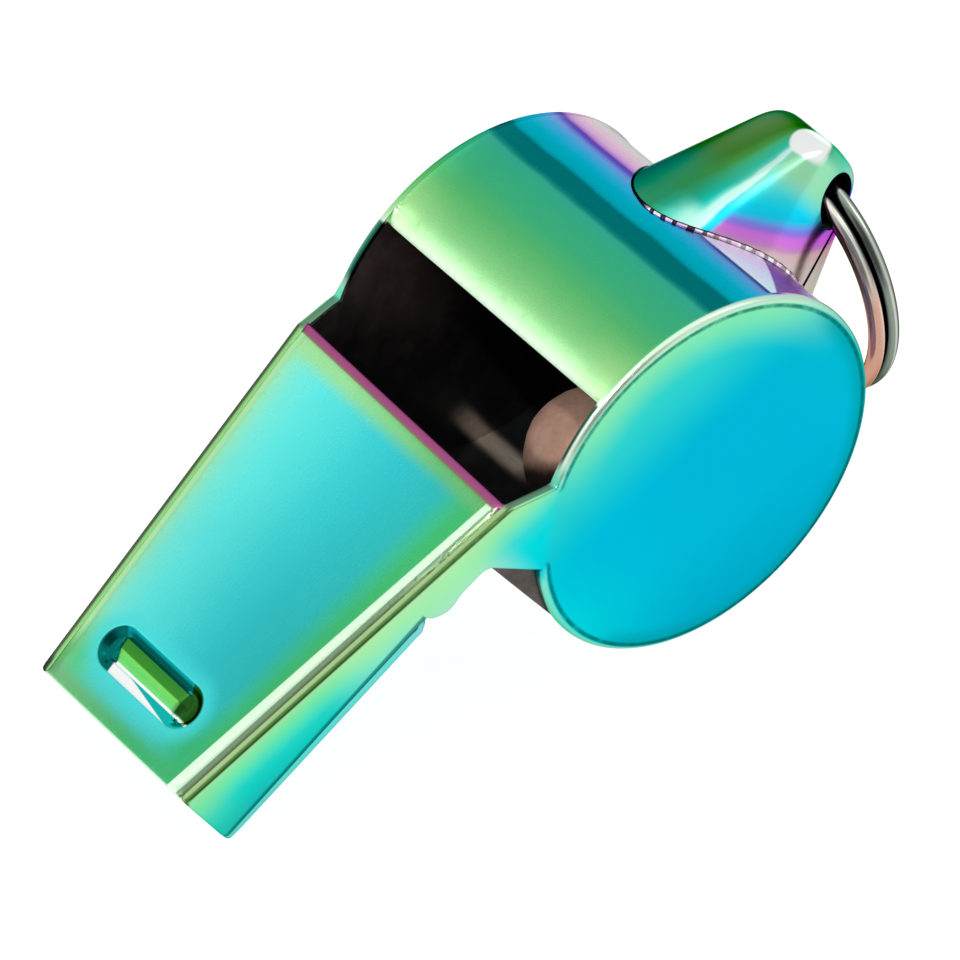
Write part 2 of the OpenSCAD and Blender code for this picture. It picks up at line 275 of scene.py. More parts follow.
    # plate edge beside the window: painted highlight on its outer part, fading to painted dark reflection toward the
    # inside
    sill = M.mul(M.mul(is_rim, M.step(r, 10.9, 11.05)), M.band(ang, 97.0, 98.2, 128, 134))
    colour = M.mix(M.mul(sill, M.mul(M.step(depth, 0.32, 0.46), M.sub(1.0, far_side))), colour, C(50, 78, 66))
    colour = M.mix(M.mul(sill, far_side), colour, M.ramp(depth, [(0.0, C(150, 205, 185)), (0.3, C(96, 160, 140)), (0.45, C(40, 104, 88)), (0.6, C(16, 52, 44))]))
    # painted shadow: a dark teal line along the cheek's lower edge, over the duct floor
    below = M.sub(z, M.add(FLOOR_TIP + 0.68, M.mul(M.add(x, TIP_X), (FLOOR_BEND - FLOOR_TIP) / (FLOOR_X + TIP_X))))
    under = M.mul(M.mul(M.step(below, 0.40, 0.22), M.step(x, -15.88, -16.0)), is_cheek)
    colour = M.mix(M.mul(under, 0.9), colour, M.ramp(x, [(-32, C(38, 134, 116)), (-30.5, C(6, 122, 116)), (-22, C(8, 120, 118)), (-16, C(48, 136, 122))]))
    return coat_end(M, colour, 0.27, (0.25, 1, 1))


def band_material():
    M = Mat("band_coat")
    x, y, z = M.xyz()
    ang = M.mul(M.math("ARCTAN2", z, x), 180 / math.pi)
    wave = M.mul(M.sub(M.grain(0.22, 3.0, 0.5), 0.5), 3.0)
    a = M.add(ang, wave)
    colour = M.ramp(a, BAND_STOPS)
    # paler toward both ends of the lip, as the tint thins there
    pale = M.mul(M.step(M.math("ABSOLUTE", y), 5.5, 9.2), M.step(ang, 76, 90))
    colour = M.mix(M.mul(pale, 0.35), colour, C(186, 232, 150))
    side = M.step(y, -2.4, -3.6)
    inner_line = M.add(15.75, M.mul(M.high(M.sub(-5.3, y), 0.0), 3.643))
    above = M.step(M.sub(ang, inner_line), -0.6, 0.6)
    # facet: a painted highlight, a pale flat-looking patch on the round barrel near the hood's foot, made less metallic
    # there
    facet = M.mul(M.mul(side, above), M.step(ang, 33.2, 32.2))
    colour = M.mix(facet, colour, M.ramp(y, [(-9.4, C(206, 232, 246)), (-7.6, C(228, 224, 246)), (-5.0, C(236, 222, 242)), (-2.4, C(220, 198, 236))]))
    corner = M.mul(M.mul(side, M.sub(1.0, above)), M.band(ang, 6.0, 12.0, 30.0, 32.0))
    colour = M.mix(corner, colour, C(142, 96, 182))
    colour = M.mix(M.mul(M.step(y, -3.4, -5.4), M.mul(M.band(ang, 32.2, 32.8, 33.4, 34.6), 0.6)), colour, C(26, 84, 128))
    M.put(M.bsdf.inputs["Metallic"], M.sub(1.0, M.mul(M.high(facet, M.mul(corner, 0.7)), 0.85)))
    return coat_end(M, colour, 0.24, (1, 0.2, 1))


REAR_LINE_A, REAR_LINE_B = -8.48, 0.022


def top_material():
    M = Mat("top_coat")
    x, y, z = M.xyz()
    edge = M.attr("edge")
    # half width of the plate at x, so that borders follow the taper
    w = M.sub(8.86, M.mul(M.sub(-9.2, x), 0.1238))
    v = M.math("DIVIDE", y, w)
    across = [(-1.0, C(66, 182, 108)), (-0.84, C(66, 181, 112)), (-0.76, C(62, 184, 138)), (-0.62, C(50, 182, 180)), (-0.3, C(51, 189, 195)),
              (0.05, C(62, 203, 207)), (0.3, C(80, 215, 213)), (0.6, C(96, 227, 222)), (0.8, C(116, 230, 216)), (0.9, C(140, 229, 196)), (1.0, C(166, 229, 156))]
    colour = M.ramp(v, across)
    fore = M.ramp(v, [(-1.0, C(72, 176, 106)), (-0.7, C(60, 180, 120)), (-0.45, C(70, 192, 170)), (-0.2, C(74, 200, 196)), (0.2, C(78, 204, 198)),
                      (0.55, C(84, 206, 190)), (0.8, C(92, 205, 146)), (1.0, C(124, 198, 124))])
    colour = M.mix(M.step(x, -26.5, -30.0), colour, fore)
    nose = M.ramp(v, [(-1.0, C(70, 176, 112)), (-0.4, C(68, 177, 112)), (0.1, C(84, 178, 114)), (0.6, C(108, 186, 124)), (1.0, C(124, 186, 132))])
    colour = M.mix(M.step(x, -30.4, -31.5), colour, nose)
    back = M.ramp(v, [(-1.0, C(104, 178, 112)), (-0.5, C(104, 184, 116)), (0.0, C(130, 206, 138)), (0.5, C(152, 220, 154)), (1.0, C(158, 222, 156))])
    colour = M.mix(M.step(x, -10.6, -9.4), colour, back)
    colour = M.mix(M.step(x, -11.0, -24.0), colour, M.mix(1.0, colour, (0.87, 0.87, 0.87, 1), "MULTIPLY"))
    # cyan halo round the bite slot
    u, t = M.add(x, 28.2), M.sub(y, 0.62)
    tt = M.high(M.sub(M.math("ABSOLUTE", t), 2.78), 0.0)
    sd = M.sub(M.math("SQRT", M.add(M.mul(u, u), M.mul(tt, tt))), 1.32)
    colour = M.mix(M.mul(M.step(sd, 1.3, 0.05), 0.7), colour, C(70, 208, 210))
    # the slot itself: walls, ridged bar and ends, painted lit and shaded: painted highlight on the front wall, painted
    # shade on the bar's back facet and at both ends
    inside = M.step(sd, 0.10, 0.0)
    face = M.ramp(u, [(-1.32, C(236, 252, 252)), (-1.22, C(255, 255, 255)), (-0.86, C(255, 255, 255)), (-0.78, C(196, 240, 232)),
                      (-0.72, C(255, 255, 255)), (-0.64, C(246, 255, 246)), (-0.58, C(106, 194, 116)), (-0.3, C(96, 184, 92)), (0.02, C(104, 190, 88)), (0.12, C(66, 148, 50)),
                      (0.62, C(58, 142, 54)), (0.72, C(50, 146, 70)), (0.78, C(10, 140, 140)), (0.95, C(6, 134, 140)), (1.32, C(20, 156, 160))])
    tilt = M.add(u, M.mul(t, -0.16))
    wedge = M.mul(M.mul(M.step(tilt, -0.96, -0.90), M.step(u, -0.73, -0.78)), M.step(t, 1.9, 1.5))
    face = M.mix(wedge, face, C(20, 186, 178))
    face = M.mix(M.step(M.sub(t, M.mul(u, 0.40)), 2.86, 2.98), face, C(4, 104, 98))
    face = M.mix(M.mul(M.step(t, -2.5, -2.62), M.step(u, -0.62, -0.5)), face, C(34, 84, 30))
    colour = M.mix(inside, colour, face)
    # rounded long borders: a painted highlight as a near-white shoulder on the near side, on top of its real
    # reflection; yellow-green on the far side
    gap = M.sub(M.add(10.0567, M.mul(x, 0.12371)), M.math("ABSOLUTE", y))
    near = M.mul(M.step(y, 0.0, -1.0), M.step(x, -9.0, -9.4))
    colour = M.mix(M.mul(M.step(M.add(gap, M.mul(M.add(x, 12.0), 0.015)), 0.80, 0.70), near), colour, C(214, 242, 212))
    colour = M.mix(M.mul(M.step(gap, 0.33, 0.25), near), colour, C(128, 160, 132))
    colour = M.mix(M.mul(M.step(gap, 0.18, 0.10), near), colour, C(158, 190, 140))
    colour = M.mix(M.mul(M.step(gap, 0.6, 0.3), M.mul(M.step(y, 0.0, 1.0), M.step(x, -30.5, -28.0))), colour, C(186, 238, 180))
    # rolled rear border
    back = M.sub(REAR_LINE_A, M.mul(y, -REAR_LINE_B))
    off = M.sub(back, x)
    colour = M.mix(M.step(off, 0.66, 0.54), colour, C(146, 118, 98))
    colour = M.mix(M.step(off, 0.54, 0.42), colour, C(166, 86, 134))
    colour = M.mix(M.mul(M.step(off, 0.16, 0.04), 0.8), colour, C(112, 34, 92))
    # pale cut edge at the mouth
    colour = M.mix(M.mul(M.step(x, -31.78, -31.86), 0.9), colour, C(226, 250, 226))
    return coat_end(M, colour, 0.25, (0.25, 1, 1))


def floor_material():
    M = Mat("floor_coat")
    x, y, z = M.xyz()
    colour = M.ramp(x, [(-32, C(60, 206, 196)), (-28, C(40, 200, 204)), (-22, C(30, 190, 200)), (-17, C(24, 176, 190)), (-11, C(20, 150, 160))])
    edge_tone = M.ramp(x, [(-32, C(104, 208, 198)), (-24, C(96, 212, 206)), (-18, C(110, 216, 206)), (-16.4, C(134, 206, 212))])
    colour = M.mix(M.step(M.attr("edge"), 0.30, 0.10), colour, edge_tone)
    return coat_end(M, colour, 0.26, (0.25, 1, 1))


def inner_material(name, tone, rough):
    """Bare, dull sheet inside the whistle, its tone kept dark partly as painted shade, with smoke-dark stains and one
    painted highlight streak low in the barrel.
    """
    M = Mat(name, metal=0.85)
    x, y, z = M.xyz()
    stain = M.grain(0.5, 5.0, 0.6)
    streak = M.grain(3.0, 4.0, 0.6, (1, 0.2, 1))
    a = C(*tone)
    colour = M.ramp(stain, [(0.25, tuple(c * 0.55 for c in a[:3]) + (1,)), (0.55, a), (0.8, tuple(min(1, c * 1.5) for c in a[:3]) + (1,))])
    # painted_glint: a painted highlight streak on the inner barrel wall, made less metallic so the low window spot
    # lights it
    painted_glint = M.mul(M.mul(M.band(x, -6.9, -6.2, -5.8, -5.1), M.step(z, -4.6, -7.2)), M.step(y, 4.2, 6.6))
    painted_glint = M.mul(painted_glint, M.add(0.55, M.mul(streak, 0.6)))
    colour = M.mix(painted_glint, colour, C(226, 208, 188))
    M.put(M.bsdf.inputs["Metallic"], M.mul(M.sub(1.0, painted_glint), 0.85))
    return M.finish(colour, M.add(rough, M.mul(streak, 0.18)), streak, 0.06)


def lug_material():
    M = Mat("lug_coat")
    x, y, z = M.xyz()
    # angle round the hanger's axis: 0 on top, positive to the near side
    k = M.math("DIVIDE", M.sub(15.5, x), 5.72)
    cz = M.add(-0.2, M.mul(k, 0.15))
    hh = M.add(2.82, M.mul(M.high(k, 0.0), 4.45))
    hw = M.add(2.44, M.mul(M.high(k, 0.0), 3.16))
    ang = M.mul(M.math("ARCTAN2", M.math("DIVIDE", M.mul(y, -1.0), hw), M.math("DIVIDE", M.sub(z, cz), hh)), 180 / math.pi)
    ang = M.add(ang, M.mul(M.sub(M.grain(0.4, 3.0), 0.5), 6.0))
    # crown, root and base carry a painted highlight streak along the near crest, at about 26° to 30°
    crown = M.ramp(ang, [(-180, C(120, 150, 140)), (-90, C(50, 150, 140)), (-45, C(78, 138, 96)), (-30, C(88, 134, 78)), (-8, C(68, 126, 50)), (3, C(74, 150, 70)), (10, C(70, 178, 122)),
                         (20, C(56, 190, 160)), (24, C(84, 204, 178)), (26.5, C(190, 240, 226)), (30, C(206, 245, 234)), (32, C(128, 222, 202)), (44, C(96, 220, 214)), (60, C(80, 218, 218))])
    root = M.ramp(ang, [(-180, C(120, 150, 140)), (-90, C(28, 140, 134)), (-30, C(20, 140, 134)), (-12, C(56, 146, 102)), (2, C(54, 144, 82)), (12, C(44, 164, 126)), (21, C(24, 190, 172)),
                        (23, C(70, 206, 190)), (26, C(186, 238, 226)), (30, C(190, 238, 228)), (31.4, C(34, 188, 210)), (36, C(24, 196, 222)), (60, C(20, 206, 234))])
    base = M.ramp(ang, [(-180, C(120, 150, 140)), (-90, C(28, 140, 134)), (-30, C(20, 140, 134)), (-12, C(50, 146, 108)), (2, C(48, 150, 104)), (8, C(46, 172, 140)), (14, C(96, 210, 186)), (20, C(160, 232, 214)),
                        (26, C(186, 238, 226)), (30.5, C(186, 238, 228)), (32, C(34, 188, 210)), (36, C(24, 196, 222)), (60, C(20, 206, 234))])
    top = M.mix(M.step(k, 0.2, 0.75), crown, root)
    top = M.mix(M.step(k, 0.78, 0.98), top, base)
    slant = M.add(M.math("ABSOLUTE", ang), M.mul(M.sub(M.high(k, -0.1), 0.5), 112.0))
    flank = M.ramp(slant, [(-30, C(132, 218, 190)), (0, C(120, 221, 202)), (15, C(84, 219, 219)), (28, C(44, 212, 224)), (42, C(18, 207, 233)), (54, C(24, 196, 232)), (60, C(84, 170, 228)),
                           (66, C(120, 130, 224)), (71, C(152, 114, 216)), (76, C(200, 112, 218)), (84, C(202, 118, 210)), (89, C(190, 136, 188)), (95, C(204, 172, 180)), (112, C(204, 190, 186)), (130, C(206, 200, 192)), (200, C(198, 200, 196))])
    colour = M.mix(M.high(M.step(ang, 35, 39), M.step(ang, -75, -125)), top, flank)
    # pale green between the bright patch and the hole, greener round the nose
    brow = M.mul(M.mul(M.step(z, -1.2, 0.2), M.step(x, 14.0, 15.8)), M.step(ang, 29, 36))
    colour = M.mix(M.mul(brow, 0.85), colour, C(152, 216, 168))
    tip = M.mul(M.step(x, 17.0, 17.8), M.high(M.step(ang, 12, 40), M.step(ang, -60, -90)))
    colour = M.mix(M.mul(tip, 0.85), colour, M.ramp(z, [(-3.0, C(196, 208, 198)), (-1.6, C(176, 212, 190)), (-0.4, C(112, 204, 166)), (1.0, C(66, 168, 138))]))
    # painted highlight patch on the near shoulder of the nose, running into the painted highlight streak
    px, py, pz = M.sub(x, 17.0), M.add(y, 1.35), M.sub(z, 1.25)
    lean = M.add(px, M.mul(py, -0.35))
    far = M.math("SQRT", M.add(M.add(M.mul(M.mul(lean, lean), 0.42), M.mul(M.mul(py, py), 0.62)), M.mul(M.mul(pz, pz), 0.5)))
    colour = M.mix(M.step(far, 1.06, 0.92), colour, C(244, 247, 246))
    return coat_end(M, colour, 0.16, (0.3, 1, 1))


def seam_material():
    M = Mat("seam_dark", metal=0.4)
    M.xyz()
    g = M.grain(3.0, 4.0)
    return M.finish(M.ramp(g, [(0.3, C(10, 10, 12)), (0.7, C(44, 36, 40))]), M.add(0.4, M.mul(g, 0.2)), g, 0.05)


def steel_material():
    M = Mat("ring_steel")
    x, y, z = M.xyz()
    draw = M.grain(6.0, 4.0, 0.6)
    tone = M.grain(0.35, 3.0, 0.5)
    turn = M.attr("edge")
    # front, rear and front_low: colour by angle round the wire, with painted highlights along each turn and painted
    # shade in the groove between the turns; front_low moves them on the lower part of the ring
    front = M.ramp(turn, [(-180, C(110, 94, 86)), (-140, C(84, 68, 62)), (-100, C(92, 76, 70)), (-62, C(120, 100, 92)), (-44, C(168, 156, 148)), (-28, C(232, 232, 226)), (-12, C(238, 242, 236)),
                          (2, C(196, 200, 192)), (18, C(96, 98, 90)), (34, C(30, 32, 28)), (46, C(10, 10, 10)), (130, C(12, 12, 12)), (155, C(70, 62, 58)), (180, C(110, 94, 86))])
    rear = M.ramp(turn, [(-180, C(110, 116, 110)), (-130, C(12, 12, 12)), (-62, C(10, 12, 10)), (-52, C(84, 92, 84)), (-30, C(128, 138, 128)), (-8, C(138, 148, 138)), (2, C(198, 204, 198)), (12, C(190, 196, 190)), (22, C(128, 136, 126)),
                         (50, C(118, 124, 114)), (90, C(170, 172, 166)), (140, C(120, 122, 116)), (180, C(110, 116, 110))])
    front_low = M.ramp(turn, [(-180, C(140, 112, 98)), (-140, C(190, 146, 124)), (-110, C(208, 162, 142)), (-60, C(204, 156, 136)), (-20, C(198, 152, 134)), (8, C(206, 168, 152)), (16, C(232, 208, 198)),
                              (28, C(222, 198, 190)), (36, C(90, 76, 70)), (44, C(12, 12, 12)), (130, C(12, 12, 12)), (155, C(90, 74, 66)), (180, C(140, 112, 98))])
    height = M.add(M.add(M.mul(x, SP), M.mul(z, CP)), DISC_R)
    front = M.mix(M.step(height, 16.6, 13.2), front, front_low)
    colour = M.mix(M.step(M.attr("second"), 0.35, 0.65), front, rear)
    colour = M.mix(M.mul(M.step(tone, 0.5, 0.7), 0.3), colour, C(206, 176, 158), "MULTIPLY")
    return M.finish(colour, M.add(0.12, M.mul(draw, 0.08)), draw, 0.02, tint=True)


def cork_material():
    M = Mat("cork", metal=0.0)
    x, y, z = M.xyz()
    big = M.grain(0.55, 3.0, 0.6)
    fine = M.grain(3.2, 5.0, 0.7)
    v = M.nt.nodes.new("ShaderNodeTexVoronoi")
    v.feature = "DISTANCE_TO_EDGE"
    v.inputs["Scale"].default_value = 1.1
    M.nt.links.new(M.place, v.inputs["Vector"])
    cell = M.step(v.outputs["Distance"], 0.02, 0.10)
    colour = M.ramp(big, [(0.3, C(214, 166, 140)), (0.5, C(232, 184, 158)), (0.7, C(240, 198, 172))])
    pores = M.step(fine, 0.66, 0.74)
    colour = M.mix(M.mul(pores, 0.4), colour, C(150, 108, 86))
    colour = M.mix(M.mul(M.sub(1.0, cell), 0.08), colour, C(160, 118, 94))
    # painted shadow over one side of the ball, standing for the shade it lies in inside the barrel
    side = M.add(M.add(M.mul(M.add(x, 5.8 * SP), -0.740), M.mul(y, -0.532)), M.mul(M.add(z, 5.8 * CP), -0.411))
    colour = M.mix(M.step(M.add(side, M.mul(M.sub(big, 0.5), 0.8)), -0.1, 1.0), colour, C(34, 24, 20))
    return M.finish(colour, M.add(0.62, M.mul(fine, 0.25)), M.sub(M.add(M.mul(cell, 0.25), big), M.mul(pores, 0.5)), 0.22, 0.0001)


PLATE, BAND, TOP, FLOOR = plate_material(), band_material(), top_material(), floor_material()
# DARK: the inner sheet's grey, kept dark partly as painted shade inside the whistle
DARK = inner_material("bare_inner", (84, 84, 88), 0.24)
LUG, SEAM, STEEL, CORK = lug_material(), seam_material(), steel_material(), cork_material()


# ---------------------------------------------------------------- mesh tools
def make(name, verts, faces, mats, index=None, edge=None, body="whistle", node=None, sharp=40, own_row=False):
    """One piece: verts in the whistle's own frame, or in the row frame in mm with own_row."""
    verts = np.asarray(verts, float)
    own = from_row(verts / 1000) if own_row else verts
    row = verts / 1000 if own_row else to_row(verts)
    me = bpy.data.meshes.new(name)
    me.from_pydata([tuple(v) for v in row], [], [tuple(int(i) for i in f) for f in faces])
    a = me.attributes.new("own", "FLOAT_VECTOR", "POINT")
    a.data.foreach_set("vector", own.astype(np.float32).ravel())
    b = me.attributes.new("edge", "FLOAT", "POINT")
    b.data.foreach_set("value", (np.full(len(verts), 9.0) if edge is None else np.asarray(edge, float)).astype(np.float32))
    for m in mats:
        me.materials.append(m)
    if index is not None:
        me.polygons.foreach_set("material_index", np.asarray(index, np.int32))
    bm = bmesh.new()
    bm.from_mesh(me)
    for f in bm.faces:
        f.smooth = True
    for e in bm.edges:
        if len(e.link_faces) == 2 and e.calc_face_angle(0.0) > math.radians(sharp):
            e.smooth = False
    bm.to_mesh(me)
    bm.free()
    me.update()
    ob = bpy.data.objects.new(name, me)
    bpy.context.scene.collection.objects.link(ob)
    if node:
        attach(ob, body)
        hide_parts(node)
    return ob


def ring_of(path, h):
    """Closed path of (u, v, edge radius) rows, cut into steps no longer than h."""
    out = []
    for i in range(len(path)):
        a, b = np.array(path[i], float), np.array(path[(i + 1) % len(path)], float)
        k = max(1, int(math.ceil(np.hypot(*(b - a)[:2]) / h)))
        out += [a + (b - a) * j / k for j in range(k)]
    return np.array(out)


def edge_distance(P, loop):
    A = loop[:, :2]
    B, r0 = np.roll(A, -1, 0), loop[:, 2]
    r1, AB = np.roll(r0, -1), B - A
    L2 = (AB ** 2).sum(1)
    D, R = np.empty(len(P)), np.empty(len(P))
    for i in range(0, len(P), 600):
        p = P[i:i + 600, None, :]
        t = np.clip(((p - A) * AB).sum(2) / L2, 0, 1)
        dd = ((p - (A + t[..., None] * AB)) ** 2).sum(2)
        k = dd.argmin(1)
        ar = np.arange(len(k))
        D[i:i + 600] = np.sqrt(dd[ar, k])
        R[i:i + 600] = r0[k] * (1 - t[ar, k]) + r1[k] * t[ar, k]
    return D, R


def within(P, loop):
    A = loop[:, :2]
    inside = np.zeros(len(P), bool)
    for a, b in zip(A, np.roll(A, -1, 0)):
        c = ((a[1] > P[:, 1]) != (b[1] > P[:, 1]))
        if c.any():
            inside ^= c & (P[:, 0] < (b[0] - a[0]) * (P[:, 1] - a[1]) / (b[1] - a[1] + 1e-30) + a[0])
    return inside


def roll(D, R):
    q = np.clip(R - D, 0, R)
    return R - np.sqrt(np.maximum(R * R - q * q, 0))


def sheet_mesh(loop, place, outer, inner, grid, extra=None, hem=0.0):
    """Closed sheet over a flat outline: outer and inner give the depth of its two faces."""
    A = loop[:, :2]
    t = np.roll(A, -1, 0) - np.roll(A, 1, 0)
    t /= np.linalg.norm(t, axis=1)[:, None]
    inward = np.stack([-t[:, 1], t[:, 0]], 1)
    cand, want = [], []
    for ph in (25, 45, 65, 90):
        d = loop[:, 2] * (1 - math.cos(math.radians(ph)))
        cand.append(A + inward * d[:, None])
        want.append(d)
    for more, every in ((0.12, 2), (0.35, 3)):
        cand.append((A + inward * (loop[:, 2] + more)[:, None])[::every])
        want.append((loop[:, 2] + more)[::every])
    cand, want = np.concatenate(cand), np.concatenate(want)
    D, R = edge_distance(cand, loop)
    cand = cand[D > 0.93 * want]
    lo, hi = A.min(0), A.max(0)
    gu = np.linspace(lo[0], hi[0], max(3, int((hi[0] - lo[0]) / grid[0])))
    gv = np.linspace(lo[1], hi[1], max(3, int((hi[1] - lo[1]) / grid[1])))
    G = np.stack(np.meshgrid(gu, gv), -1).reshape(-1, 2)
    G = G[within(G, loop)]
    D, R = edge_distance(G, loop)
    G = G[D > R + 0.45]
    if extra is not None and len(extra):
        De, Re = edge_distance(extra, loop)
        extra = extra[De > Re + 0.1]
        near = np.array([np.min(((extra - g) ** 2).sum(1)) for g in G]) if len(G) else np.zeros(0)
        G = np.concatenate([G[near > 0.12 ** 2], extra])
    pts = np.concatenate([A, cand, G])
    seen, keep = set(), []
    for i, p in enumerate(pts):
        key = (round(p[0] / 0.005), round(p[1] / 0.005))
        if i < len(A) or key not in seen:
            keep.append(i)
            seen.add(key)
    pts = pts[keep]
    n = len(A)
    vo, _, fo, ov, _, _ = delaunay_2d_cdt([Vector(p) for p in pts], [], [list(range(n))], 1, 1e-5, True)
    uv = np.array([tuple(v) for v in vo])
    back = {}
    for i, src in enumerate(ov):
        for j in src:
            back[j] = i
    rim = [back[j] for j in range(n)]
    D, R = edge_distance(uv, loop)
    D[rim] = 0
    tri = []
    for f in fo:
        for k in range(1, len(f) - 1):
            a, b, c = f[0], f[k], f[k + 1]
            ar = (uv[b][0] - uv[a][0]) * (uv[c][1] - uv[a][1]) - (uv[b][1] - uv[a][1]) * (uv[c][0] - uv[a][0])
            if abs(ar) > 1e-9:
                tri.append((a, b, c) if ar > 0 else (a, c, b))
    tri = np.array(tri)
    tri = [tuple(int(i) for i in t) for t in tri[within(uv[tri].mean(1), loop)]]
    m = len(uv)
    verts = np.concatenate([place(uv, outer(uv, D, R)), place(uv, inner(uv, D, R))])
    faces = list(tri) + [(c + m, b + m, a + m) for a, b, c in tri]
    index = [0] * len(tri) + [0 if max(D[list(t)]) < hem else 1 for t in tri]
    for i in range(n):
        a, b = rim[i], rim[(i + 1) % n]
        if a != b:
            faces.append((a, a + m, b + m, b))
            index.append(0)
    return verts, faces, index, np.concatenate([D, D])


# ---------------------------------------------------------------- camera, floor, light
cam_data = bpy.data.cameras.new("camera")
cam = bpy.data.objects.new("camera", cam_data)
bpy.context.scene.collection.objects.link(cam)
right = Vector((0.794933, -0.606245, -0.023400))
down = Vector((-0.427309, -0.532092, -0.730948))
fwd = Vector((0.430683, 0.591054, -0.682032))
cam.matrix_world = Matrix(((right[0], -down[0], -fwd[0], -0.211409), (right[1], -down[1], -fwd[1], -0.290442),
                           (right[2], -down[2], -fwd[2], 0.343538), (0, 0, 0, 1)))
cam_data.sensor_fit = "HORIZONTAL"
cam_data.sensor_width = 36
cam_data.lens = 337.5
cam_data.clip_start, cam_data.clip_end = 0.01, 20
bpy.context.scene.camera = cam

ground_mesh = bpy.data.meshes.new("ground")
s = 1.5
ground_mesh.from_pydata([(-s, -s, -2e-5), (s, -s, -2e-5), (s, s, -2e-5), (-s, s, -2e-5)], [], [(0, 1, 2, 3)])
ground = bpy.data.objects.new("ground", ground_mesh)
bpy.context.scene.collection.objects.link(ground)
gm = bpy.data.materials.new("ground_white")
gm.use_nodes = True
gb = gm.node_tree.nodes["Principled BSDF"]
gb.inputs["Base Color"].default_value = (0.2, 0.2, 0.2, 1)
gb.inputs["Roughness"].default_value = 0.9
gb.inputs["Specular IOR Level"].default_value = 0.1
gb.inputs["Emission Color"].default_value = (1, 1, 1, 1)
gb.inputs["Emission Strength"].default_value = 0.93
ground_mesh.materials.append(gm)

world = bpy.data.worlds.new("studio")
bpy.context.scene.world = world
world.use_nodes = True
wn = world.node_tree
bg = wn.nodes["Background"]
tc = wn.nodes.new("ShaderNodeTexCoord")
dot = wn.nodes.new("ShaderNodeVectorMath")
dot.operation = "DOT_PRODUCT"
dot.inputs[1].default_value = (-0.40, -0.72, 0.57)
wn.links.new(tc.outputs["Generated"], dot.inputs[0])
ramp = wn.nodes.new("ShaderNodeValToRGB")
ramp.color_ramp.elements[0].position, ramp.color_ramp.elements[0].color = 0.78, (0.97, 0.97, 0.97, 1)
ramp.color_ramp.elements[1].position, ramp.color_ramp.elements[1].color = 0.93, (0.22, 0.22, 0.22, 1)
wn.links.new(dot.outputs["Value"], ramp.inputs[0])
wn.links.new(ramp.outputs[0], bg.inputs[0])
bg.inputs[1].default_value = 0.92


def lamp(name, where, at, size, power, size_y=None):
    d = bpy.data.lights.new(name, "AREA")
    d.shape = "RECTANGLE"
    d.size, d.size_y, d.energy = size, size_y or size, power
    o = bpy.data.objects.new(name, d)
    o.location = where
    o.rotation_euler = (Vector(at) - Vector(where)).to_track_quat("-Z", "Y").to_euler()
    bpy.context.scene.collection.objects.link(o)


lamp("over", (0.05, -0.05, 0.9), (0, 0, 0.01), 0.9, 0.7)
lamp("left_back", (-0.52, 0.46, 0.46), (0, 0, 0.01), 0.22, 0.3, 0.5)
lamp("right_high", (0.5, -0.25, 0.55), (0.02, 0, 0.015), 0.2, 0.35, 0.4)

for name, aim, way, power, cone in (("window_spot", to_row([(-3.4, -0.4, -1.4)])[0], (-0.70, 0.16, 0.69), 2.6, 2.2), ("window_spot_low", to_row([(-6.0, 6.6, -9.2)])[0], (-0.42, -0.33, 0.845), 22.0, 0.9)):
    spot = bpy.data.lights.new(name, "SPOT")
    spot.energy, spot.spot_size, spot.spot_blend, spot.shadow_soft_size = power, math.radians(cone), 0.6, 0.012
    spot_ob = bpy.data.objects.new(name, spot)
    spot_ob.location = Vector(aim) + Vector(way) * 0.5
    spot_ob.rotation_euler = (Vector(aim) - spot_ob.location).to_track_quat("-Z", "Y").to_euler()
    bpy.context.scene.collection.objects.link(spot_ob)

sv = bpy.context.scene.view_settings
sv.view_transform = "Standard"
sv.look = "None"
sv.exposure = 0.0
sv.gamma = 1.0

# ---------------------------------------------------------------- side plates
arc = [(DISC_R * math.cos(math.radians(a)), DISC_R * math.sin(math.radians(a)),
        0.16 + 0.30 * min(1.0, max(0.0, min(a - 151.0, 483.0 - a) / 5.0))) for a in np.arange(151.0, 483.01, 1.0)]
cheek = [(-REAR_X, EDGE_Z), (-TIP_X + 0.15, EDGE_Z), (-TIP_X, EDGE_Z - 0.15), (-TIP_X, 6.80), (-TIP_X + 0.02, 6.64), (-TIP_X + 0.08, 6.53), (-TIP_X + 0.2, 6.47), (-TIP_X + 0.4, 6.46),
         (-17.0, 8.63), (-16.5, 8.685), (-16.1, 8.73), (-15.95, 8.72), (-15.87, 8.66), (-15.82, 8.54), (-15.74, 8.42), (-15.62, 8.32), (-15.5, 8.24),
         (-15.3, 8.13), (-15.12, 8.06), (-14.92, 8.01), (-14.7, 8.0), (-14.48, 8.03), (-14.26, 8.09), (-14.0, 8.2), (-13.75, 8.28), (-13.5, 8.32), (-13.17, 8.35),
         (-12.8, 8.39), (-12.46, 8.42), (-12.2, 8.44), (-11.98, 8.42), (-11.82, 8.36), (-11.68, 8.27), (-11.6, 8.2)]
plate_loop = ring_of(arc + [(a, b, 0.16) for a, b in cheek], 0.2)


def plate_face(sign):
    def place(uv, depth):
        y = -HALF + cheek_in(uv[:, 0], uv[:, 1]) + depth
        return np.stack([uv[:, 0], y, uv[:, 1]], 1)
    return place


def plate_outer(uv, D, R):
    r = np.hypot(uv[:, 0], uv[:, 1])
    groove = 0.025 * np.exp(-((D - 0.50) / 0.09) ** 2) * np.clip((R - 0.2) / 0.2, 0, 1) * (r < DISC_R + 0.1)
    return roll(D, R) + groove


def plate_inner(uv, D, R):
    return SHEET - roll(D, np.full(len(D), 0.02))


